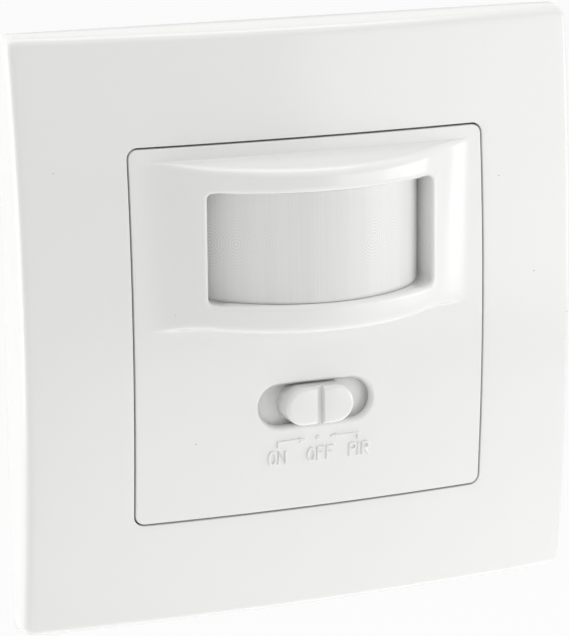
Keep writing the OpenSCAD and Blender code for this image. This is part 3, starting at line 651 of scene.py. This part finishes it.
class SWITCH_OT_frame_moulding(Operator):
    """Moulds the square frame with its domed front, its opening and its hollow rear"""

    bl_idname = "switch.frame_moulding"
    bl_label = "Frame moulding"

    def execute(self, context):
        sizes = context.scene.switch_front
        cuts, bands = 31, 11
        half = FRAME_HIGH.x
        opening = COVER_HIGH.x + sizes.cover_gap
        opening_corner = sizes.cover_corner + sizes.cover_gap
        lip = COVER_HIGH.x - sizes.lip
        inside = half - sizes.skirt
        ring_front = RING_LOW.y
        front, under = -sizes.crown, -sizes.crown + sizes.skin
        slope = math.tan(sizes.side_draft)
        edge_half = half - sizes.crown * slope
        bm = bmesh.new()
        # The section's loops: name, half width, corner, depth, and the cuts in the band up to the next loop
        section = [
            ("rear", half, sizes.frame_corner, 0, 0),
            ("edge", edge_half, sizes.frame_corner, front, bands),
            ("opening", opening, opening_corner, front, 0),
            ("seat", opening, opening_corner, sizes.cover_foot, 0),
            ("lip", lip, sizes.inner_corner, sizes.cover_foot, 0),
            ("lip_rear", lip, sizes.inner_corner, ring_front, 0),
            ("collar", opening + sizes.collar, opening_corner, ring_front, 0),
            ("collar_top", opening + sizes.collar, opening_corner, under, bands),
            ("skirt_top", inside, sizes.inner_corner, under, 0),
            ("skirt", inside, sizes.inner_corner, 0, 0),
        ]
        names, halves, corners, depths, splits = zip(*section)
        # Loops in one plane would be bridged across the opening, so they start one behind the other
        starts = [i * half for i in range(len(section))]
        rings = [square_ring(bm, *ring, cuts) for ring in zip(halves, corners, starts)]
        pairs = zip(rings, rings[1:] + rings[:1])
        joins = [bmesh.ops.bridge_loops(bm, edges=a + b)["edges"] for a, b in pairs]
        for ring, depth in zip(rings, depths):
            for vert in loop_verts(ring):
                vert.co.y = depth
        for edges, split in zip(joins, splits):
            if split:
                bmesh.ops.subdivide_edges(bm, edges=edges, cuts=split, use_grid_fill=True)
        loops = dict(zip(names, rings))
        rim = loop_verts(loops["edge"])
        for vert in bm.verts:
            x, y, z = vert.co
            if abs(y - front) < TINY:
                if vert in rim:
                    wider = (half - dome_height(x, z) * slope) / edge_half
                    x, z = x * wider, z * wider
                vert.co = (x, -dome_height(x, z), z)
            elif abs(y - under) < TINY:
                vert.co = (x, sizes.skin - dome_height(x, z), z)
        bmesh.ops.recalc_face_normals(bm, faces=bm.faces)
        round_off(bm, loops["edge"], sizes.frame_edge, segments=6)
        round_off(bm, loops["opening"], sizes.opening_edge, segments=4)
        round_off(bm, loops["rear"] + loops["skirt"], sizes.rear_edge, segments=3)
        add_piece("frame_moulding", bm, "base", "white_front", "outer_frame")
        return {"FINISHED"}


class SWITCH_OT_cover_moulding(Operator):
    """Moulds the cover with its lens hood, its window and its slot"""

    bl_idname = "switch.cover_moulding"
    bl_label = "Cover moulding"

    def execute(self, context):
        sizes = context.scene.switch_front
        half = COVER_HIGH.x
        edge = half - sizes.cover_edge - 2 * sizes.strip
        corner = half - sizes.cover_corner
        lens_z = (LENS_LOW.z + LENS_HIGH.z) / 2
        lens_h = (LENS_HIGH.z - LENS_LOW.z) / 2 - sizes.tunnel_lap
        window_z = lens_z - sizes.window_drop
        slot_z = (KNOB_LOW.z + KNOB_HIGH.z) / 2
        window_x, window_h = sizes.window_width / 2, sizes.window_height / 2
        foot_x, foot_h = sizes.slot_length / 2, sizes.slot_height / 2
        slot_x, slot_h = foot_x + sizes.slot_draft, foot_h + sizes.slot_draft
        window_strip = sizes.window_rim + sizes.strip
        slot_strip = sizes.slot_rim + sizes.strip
        to_window = onto_outline(window_z, window_x, window_h, sizes.window_corner)
        to_slot = onto_outline(slot_z, slot_x, slot_h, slot_h)
        # Each hole with the strip around it: half its width and height, its middle and the way to its rim
        holes = {
            "window": (window_x + window_strip, window_h + window_strip, window_z, to_window),
            "slot": (slot_x + slot_strip, slot_h + slot_strip, slot_z, to_slot),
        }
        columns, rows = self.lines(sizes, holes, corner, edge)
        bm = bmesh.new()

        def on_row(x, row):
            return row(x) if callable(row) else Vector((x, -cover_height(x, row), row))

        add_grid(bm, columns, rows, on_row)
        outside = [e for e in bm.edges if e.is_boundary]
        for vert in bm.verts:
            past_x, past_z = abs(vert.co.x) - corner, abs(vert.co.z) - corner
            if min(past_x, past_z) > 0:
                reach = max(past_x, past_z)
                vert.co = onto_outline(0, corner + reach, corner + reach, reach)(vert.co)
        rims = {}
        for name, (hole_x, hole_h, hole_z, place) in holes.items():
            middles = [(f, f.calc_center_median()) for f in bm.faces]
            faces = [f for f, at in middles if abs(at.x) < hole_x and abs(at.z - hole_z) < hole_h]
            edges = {e for f in faces for e in f.edges}
            bmesh.ops.delete(bm, geom=faces, context="FACES")
            loop = [e for e in edges if e.is_valid and e.is_boundary]
            rims[name] = extrude_loop(bm, loop, place)
        rims["outline"] = extrude_loop(bm, outside, onto_outline(0, half, half, sizes.cover_corner))
        tunnel_y = INNER_LOW.y - sizes.tunnel_gap
        slot_y = sizes.slot_depth - dome_height(0, slot_z)
        to_lens = onto_outline(lens_z, sizes.tunnel_foot, lens_h, sizes.window_corner, tunnel_y)
        extrude_loop(bm, rims["slot"], onto_outline(slot_z, foot_x, foot_h, foot_h, slot_y))
        extrude_loop(bm, rims["window"], to_lens)
        extrude_loop(bm, rims["outline"], lambda co: Vector((co.x, sizes.cover_foot, co.z)))
        face_front(bm)
        round_off(bm, rims["window"], sizes.window_rim, segments=8)
        round_off(bm, rims["slot"], sizes.slot_rim, segments=6)
        round_off(bm, rims["outline"], sizes.cover_edge, segments=5)
        thicken(add_piece("cover_moulding", bm, "base", "white_front", "front_cover"), sizes.cover_skin)
        return {"FINISHED"}

    def lines(self, sizes, holes, corner, edge):
        """The grid's columns and rows, with finer cells at the corners and where the hood's top ends."""
        cell, fine, finer, finest = sizes.cell, 0.2 * MM, 0.12 * MM, 0.035 * MM
        below_crease, above_crease = 1.2 * MM, 0.15 * MM
        ledge_steps = 6
        slot_x, slot_h, slot_z, _ = holes["slot"]
        window_x, window_h, window_z, _ = holes["window"]
        right = spaced([0, slot_x, window_x, corner], cell) + spaced([corner, edge], fine)[1:]
        foot_z = sizes.hood_bottom - sizes.hood_sag - sizes.ledge_foot
        edge_z = sizes.hood_bottom + sizes.ledge_draft + sizes.ledge_edge
        top_z = window_z + window_h
        flat_z, crease_z = sizes.hood_foot - below_crease, sizes.hood_foot + above_crease
        low = spaced([-edge, -corner], fine)
        low += spaced([-corner, slot_z - slot_h, slot_z + slot_h, foot_z], cell)[1:]
        high = spaced([edge_z, window_z - window_h, top_z], cell) + spaced([top_z, flat_z], finer)[1:]
        high += spaced([flat_z, crease_z], finest)[1:] + spaced([crease_z, corner, edge], fine)[1:]
        columns = [-x for x in right[:0:-1]] + right
        rows = low[:-1] + ledge_rows(ledge_steps) + high[1:]
        return columns, rows


class SWITCH_OT_lens_sheet(Operator):
    """Bends the milky lens sheet behind the window"""

    bl_idname = "switch.lens_sheet"
    bl_label = "Lens sheet"

    def execute(self, context):
        sizes = context.scene.switch_lens
        axis_y = LENS_LOW.y + sizes.radius
        half_arc = sizes.radius * math.asin(LENS_HIGH.x / sizes.radius)
        half_h = (LENS_HIGH.z - LENS_LOW.z) / 2
        middle = (LENS_HIGH.z + LENS_LOW.z) / 2
        border = sizes.corner / 2
        columns = spaced([-half_arc + border, half_arc - border], sizes.cell)
        rows = spaced([-half_h + border, half_h - border], sizes.cell)
        bm = bmesh.new()
        add_grid(bm, columns, rows, lambda x, z: Vector((x, 0, z)))
        boundary = [e for e in bm.edges if e.is_boundary]
        extrude_loop(bm, boundary, onto_outline(0, half_arc, half_h, sizes.corner, 0))
        face_front(bm)
        uv = bm.loops.layers.uv.new("sheet")
        for face in bm.faces:
            for loop in face.loops:
                loop[uv].uv = (loop.vert.co.x, loop.vert.co.z)
        for vert in bm.verts:
            turn = vert.co.x / sizes.radius
            vert.co = (
                sizes.radius * math.sin(turn),
                axis_y - sizes.radius * math.cos(turn),
                vert.co.z + middle,
            )
        thicken(add_piece("lens_sheet", bm, "base", "lens_milk", "fresnel_lens"), sizes.thickness)
        return {"FINISHED"}


class SWITCH_OT_mode_knob(Operator):
    """Moulds the slide switch's knob with its groove and the plate that closes the slot"""

    bl_idname = "switch.mode_knob"
    bl_label = "Mode knob"

    def execute(self, context):
        sizes = context.scene.switch_knob
        slot_z = (KNOB_LOW.z + KNOB_HIGH.z) / 2
        plate_y = KNOB_HIGH.y - sizes.plate
        half_groove = sizes.groove_width / 2
        sides, steps = 64, 8
        # The knob is made lying on its back, with the plate first and the grip on top
        bm = bmesh.new()
        bmesh.ops.create_grid(bm, x_segments=1, y_segments=1, size=0.5)
        span = (KNOB_HIGH.x - KNOB_LOW.x, KNOB_HIGH.z - KNOB_LOW.z, 1)
        bmesh.ops.scale(bm, vec=span, verts=bm.verts)
        round_off(bm, bm.verts[:], sizes.plate_corner, segments=6, affect="VERTICES")
        made = bmesh.ops.extrude_face_region(bm, geom=bm.faces[:])
        bmesh.ops.translate(bm, vec=(0, 0, sizes.plate), verts=made_of(made, BMVert))
        plate = set(bm.verts)
        bmesh.ops.create_circle(bm, cap_ends=True, segments=sides, radius=sizes.height / 2)
        grip = [v for v in bm.verts if v not in plate]
        bmesh.ops.rotate(bm, verts=grip, matrix=Matrix.Rotation(math.pi / sides, 3, "Z"))
        straight = (sizes.length - sizes.height) / 2
        for vert in grip:
            vert.co.x += math.copysign(straight, vert.co.x)
            vert.co.z = sizes.plate
        root = [f for f in bm.faces if all(v not in plate for v in f.verts)]
        proud = plate_y - KNOB_LOW.y
        narrow = Vector((sizes.tip_length / sizes.length, sizes.tip_height / sizes.height, 1))
        share = 1 - sizes.groove_depth / proud
        made = bmesh.ops.extrude_face_region(bm, geom=root)
        floor = made_of(made, BMVert)
        bmesh.ops.translate(bm, vec=(0, 0, -sizes.sunk), verts=grip)
        bmesh.ops.scale(bm, vec=Vector((1, 1, 1)).lerp(narrow, share), verts=floor)
        bmesh.ops.translate(bm, vec=(0, 0, proud * share), verts=floor)
        floor_z = sizes.plate + proud * share

        # The grip's end is cut at the groove's walls, and a rounded pad rises on each side of the groove
        def cap():
            return [f for f in bm.faces if all(abs(v.co.z - floor_z) < TINY for v in f.verts)]

        for side in (-1, 1):
            region = {item for f in cap() for item in (f, *f.edges, *f.verts)}
            bmesh.ops.bisect_plane(
                bm, geom=list(region), plane_co=(side * half_groove, 0, 0), plane_no=(1, 0, 0)
            )
        pads = [f for f in cap() if abs(f.calc_center_median().x) > half_groove]
        turns = quarter_turn(steps)
        profile = [(sizes.edge * (1 - math.cos(t)), sizes.edge * (math.sin(t) - 1)) for t in turns]
        for pad in pads:
            drawn_in, wall = 0, half_groove
            for inset, drop in profile:
                made = bmesh.ops.extrude_face_region(bm, geom=[pad])
                bmesh.ops.delete(bm, geom=[pad], context="FACES_ONLY")
                pad = made_of(made, BMFace)[0]
                keep = (sizes.tip_height / 2 - inset) / (sizes.tip_height / 2 - drawn_in)
                rise = max(sizes.groove_edge + drop, 0)
                opened = half_groove + sizes.groove_edge - math.sqrt(sizes.groove_edge**2 - rise**2)
                for vert in made_of(made, BMVert):
                    if abs(abs(vert.co.x) - wall) < TINY:
                        vert.co.x = math.copysign(opened, vert.co.x)
                    middle = max(-straight, min(straight, vert.co.x))
                    vert.co.x = middle + (vert.co.x - middle) * keep
                    vert.co.y *= keep
                    vert.co.z = sizes.plate + proud + drop
                drawn_in, wall = inset, opened
        bmesh.ops.recalc_face_normals(bm, faces=bm.faces)
        bmesh.ops.rotate(bm, verts=bm.verts, matrix=Matrix.Rotation(math.pi / 2, 3, "X"))
        bmesh.ops.translate(bm, vec=(0, KNOB_HIGH.y, slot_z), verts=bm.verts)
        add_piece("knob_moulding", bm, "mode_slider", "white_front", "mode_knob")
        return {"FINISHED"}


def arc(centre_x, centre_z, radius_x, radius_z, start, end, steps=12):
    """Points of an arc, with angles in degrees."""
    turns = [math.radians(start + (end - start) * i / steps) for i in range(steps + 1)]
    return [(centre_x + radius_x * math.cos(t), centre_z + radius_z * math.sin(t)) for t in turns]


def letter_strokes(letter):
    """The strokes of a plain letter in a square from 0 to 1."""
    bowl = [(0, 1), (0.5, 1), *arc(0.5, 0.76, 0.45, 0.24, 90, -90), (0, 0.52)]
    return {
        "O": [arc(0.5, 0.5, 0.5, 0.5, 0, 360, 28)],
        "N": [[(0, 0), (0, 1), (1, 0), (1, 1)]],
        "F": [[(0.95, 1), (0, 1), (0, 0)], [(0, 0.53), (0.75, 0.53)]],
        "P": [[(0, 0), *bowl]],
        "I": [[(0.5, 0), (0.5, 1)]],
        "R": [[(0, 0), *bowl], [(0.4, 0.52), (1, 0)]],
    }[letter]


class SWITCH_OT_mode_marks(Operator):
    """Raises the plain markings of the three settings under the slot"""

    bl_idname = "switch.mode_marks"
    bl_label = "Mode marks"

    def execute(self, context):
        sizes = context.scene.switch_marks
        wide, tall = sizes.letter_width, sizes.cap_height
        # Middles of the letters, and the stem and tip of each arrow, in millimetres along the slot
        words = {"ON": (-6.2, -4.81), "OFF": (-0.6, 0.8, 2.14), "PIR": (5.47, 6.27, 7.34)}
        arrows = ((-5.42, -1.65), (6.2, 2.3))
        dot_x, dot_r = 0.35 * MM, 0.18 * MM
        head_long, head_half = 0.6 * MM, 0.24 * MM
        strokes = []
        for word, middles in words.items():
            for letter, middle in zip(word, middles):
                start = middle * MM - wide / 2
                for stroke in letter_strokes(letter):
                    strokes.append([(start + u * wide, sizes.letter_z + v * tall) for u, v in stroke])
        z = sizes.arrow_z
        for stem_x, tip_x in ((stem * MM, tip * MM) for stem, tip in arrows):
            back_x = tip_x + math.copysign(head_long, stem_x - tip_x)
            strokes.append([(stem_x, z - sizes.arrow_stem), (stem_x, z), (tip_x, z)])
            strokes.append([(tip_x, z), (back_x, z + head_half), (back_x, z - head_half), (tip_x, z)])
        strokes.append(arc(dot_x, z, dot_r, dot_r, 0, 360))
        curve = bpy.data.curves.new("marks", "CURVE")
        curve.dimensions = "3D"
        curve.bevel_depth = sizes.stroke / 2
        curve.bevel_resolution = 2
        curve.use_fill_caps = True
        for stroke in strokes:
            closed = len(stroke) > 2 and math.dist(stroke[0], stroke[-1]) < TINY
            points = stroke[:-1] if closed else stroke
            spline = curve.splines.new("POLY")
            spline.use_cyclic_u = closed
            spline.points.add(len(points) - 1)
            for point, (x, v) in zip(spline.points, points):
                point.co = (x, -dome_height(x, v) - sizes.rise, v, 1)
        drawn = bpy.data.objects.new("marks", curve)
        mesh = bpy.data.meshes.new_from_object(drawn)
        bm = bmesh.new()
        bm.from_mesh(mesh)
        bmesh.ops.remove_doubles(bm, verts=bm.verts, dist=TINY)
        bmesh.ops.recalc_face_normals(bm, faces=bm.faces)
        bpy.data.objects.remove(drawn)
        bpy.data.meshes.remove(mesh)
        add_piece("mode_marks", bm, "base", "white_front")
        return {"FINISHED"}


class SWITCH_OT_works(Operator):
    """Gives the remaining solids their finishes, with softened edges where they show"""

    bl_idname = "switch.works"
    bl_label = "Works and rear"

    def execute(self, context):
        # Rounding of the edges that show
        edges = {
            "support_ring": 0.2 * MM,
            "rear_housing": 0.3 * MM,
            "terminal_block": 0.25 * MM,
            "terminal_screws": 0.12 * MM,
            "terminal_cages": 0.1 * MM,
            "cover_screws": 0.1 * MM,
        }
        weld_reach, flat_angle = 0.001 * MM, math.radians(1)
        for row in frame["record"]["subparts"]:
            node = frame["nodes"][row["node"]]
            node.data.materials.clear()
            node.data.materials.append(finish_of(row["material_slot"]))
            if row["node"] in edges:
                weld = node.modifiers.new("weld", "WELD")
                weld.merge_threshold = weld_reach
                flat = node.modifiers.new("flat_faces", "DECIMATE")
                flat.decimate_type = "DISSOLVE"
                flat.angle_limit = flat_angle
                soft = node.modifiers.new("soft_edges", "BEVEL")
                soft.width = edges[row["node"]]
                soft.segments = 3
                soft.limit_method = "ANGLE"
                soft.angle_limit = SHARP_ANGLE
                even = node.modifiers.new("even_normals", "WEIGHTED_NORMAL")
                even.keep_sharp = True
        return {"FINISHED"}


PLAIN_WHITE = tone(linear("FFFFFF"), 1)
# Each lamp's place, and its width and height
LAMPS = {
    "key": ((0.50, -0.60, 0.0), (0.5, 0.35)),
    "side": ((0.70, -0.25, 0.0), (0.4, 0.3)),
    "rim": ((-0.45, 0.25, 0.05), (0.4, 0.4)),
    "left": ((-0.60, 0.0, 0.0), (0.3, 0.4)),
    "low": ((0.15, -0.28, -0.20), (0.4, 0.2)),
    "under": ((0.0, -0.035, -0.21), (0.4, 0.08)),
    "over": ((0.0, 0.04, 0.55), (0.6, 0.4)),
    "front": ((0.05, -0.45, 0.42), (0.5, 0.3)),
}


class SWITCH_OT_stage(Operator):
    """Sets the floor, the soft light and the camera"""

    bl_idname = "switch.stage"
    bl_label = "Stage"

    def execute(self, context):
        settings = context.scene.switch_stage
        self.floor(context, settings)
        self.sky(context, settings)
        self.lamps(context, settings)
        self.camera(context, settings)
        context.scene.view_settings.view_transform = "Standard"
        return {"FINISHED"}

    def seen(self, tree):
        """A factor of 1 for rays from the camera and for those that mirror or pass to what it sees."""
        path = add_node(tree, "ShaderNodeLightPath").outputs
        seen = path["Is Camera Ray"]
        for kind in ("Is Glossy Ray", "Is Transmission Ray"):
            seen = add_node(tree, "ShaderNodeMath", {0: seen, 1: path[kind]}, operation="MAXIMUM")
        return seen

    def floor(self, context, settings):
        bm = bmesh.new()
        bmesh.ops.create_grid(bm, x_segments=8, y_segments=8, size=settings.floor_half)
        bmesh.ops.translate(bm, vec=(0, 0, CAD_LOW.z - settings.floor_drop), verts=bm.verts)
        mesh = bpy.data.meshes.new("floor")
        bm.to_mesh(mesh)
        bm.free()
        material = bpy.data.materials.new("white_paper")
        tree = new_tree(material)
        paper = {"Color": tone(context.scene.switch_colours.paper, 1)}
        plain = {0: self.seen(tree), 1: settings.floor_white}
        layers = {
            0: add_node(tree, "ShaderNodeMath", plain, operation="MULTIPLY"),
            1: add_node(tree, "ShaderNodeBsdfDiffuse", paper),
            2: add_node(tree, "ShaderNodeEmission", {"Color": PLAIN_WHITE, "Strength": 1.0}),
        }
        mix = add_node(tree, "ShaderNodeMixShader", layers)
        add_node(tree, "ShaderNodeOutputMaterial", {"Surface": mix})
        mesh.materials.append(material)
        floor = bpy.data.objects.new("floor", mesh)
        context.scene.collection.objects.link(floor)

    def sky(self, context, settings):
        world = bpy.data.worlds.new("studio")
        context.scene.world = world
        tree = new_tree(world)
        layers = {
            0: self.seen(tree),
            1: add_node(tree, "ShaderNodeBackground", {"Color": PLAIN_WHITE, "Strength": settings.sky}),
            2: add_node(tree, "ShaderNodeBackground", {"Color": PLAIN_WHITE, "Strength": 1.0}),
        }
        mix = add_node(tree, "ShaderNodeMixShader", layers)
        add_node(tree, "ShaderNodeOutputWorld", {"Surface": mix})

    def lamps(self, context, settings):
        for name, (place, (width, height)) in LAMPS.items():
            lamp = bpy.data.lights.new(name, "AREA")
            lamp.shape = "RECTANGLE"
            lamp.size, lamp.size_y = width, height
            lamp.energy = getattr(settings, name)
            holder = bpy.data.objects.new(name, lamp)
            holder.location = place
            holder.rotation_euler = Vector(place).to_track_quat("Z", "Y").to_euler()
            context.scene.collection.objects.link(holder)

    def camera(self, context, settings):
        turn, lift, roll = settings.azimuth, settings.elevation, settings.roll
        back = Vector(
            (math.sin(turn) * math.cos(lift), -math.cos(turn) * math.cos(lift), math.sin(lift))
        )
        level = Vector((0, 0, 1)).cross(back).normalized()
        upright = back.cross(level)
        right = level * math.cos(roll) + upright * math.sin(roll)
        up = upright * math.cos(roll) - level * math.sin(roll)
        data = bpy.data.cameras.new("camera")
        data.lens = settings.focal
        data.sensor_width = SENSOR_WIDTH
        camera = bpy.data.objects.new("camera", data)
        camera.matrix_world = Matrix.LocRotScale(
            Vector(settings.camera_place), Matrix((right, up, back)).transposed(), None
        )
        context.scene.collection.objects.link(camera)
        context.scene.camera = camera


PIECE_OPERATORS = (
    SWITCH_OT_frame_moulding,
    SWITCH_OT_cover_moulding,
    SWITCH_OT_lens_sheet,
    SWITCH_OT_mode_knob,
    SWITCH_OT_mode_marks,
    SWITCH_OT_works,
    SWITCH_OT_stage,
)


class SWITCH_PT_pieces(Panel):
    """Lists the switch's pieces in the sidebar"""

    bl_label = "Motion sensor switch"
    bl_space_type = "VIEW_3D"
    bl_region_type = "UI"
    bl_category = "Switch"

    def draw(self, context):
        for operator in PIECE_OPERATORS:
            self.layout.operator(operator.bl_idname)


GROUPS = {
    "switch_front": FrontSizes,
    "switch_lens": LensSizes,
    "switch_knob": KnobSizes,
    "switch_marks": MarkSizes,
    "switch_colours": FinishColours,
    "switch_stage": StageSettings,
}


def register():
    for name, group in GROUPS.items():
        bpy.utils.register_class(group)
        setattr(bpy.types.Scene, name, PointerProperty(type=group))
    for item in (*PIECE_OPERATORS, SWITCH_PT_pieces):
        bpy.utils.register_class(item)


def unregister():
    for item in (SWITCH_PT_pieces, *reversed(PIECE_OPERATORS)):
        bpy.utils.unregister_class(item)
    for name, group in GROUPS.items():
        delattr(bpy.types.Scene, name)
        bpy.utils.unregister_class(group)


def main():
    register()
    for operator in PIECE_OPERATORS:
        group, name = operator.bl_idname.split(".")
        getattr(getattr(bpy.ops, group), name)()


if __name__ == "__main__":
    main()
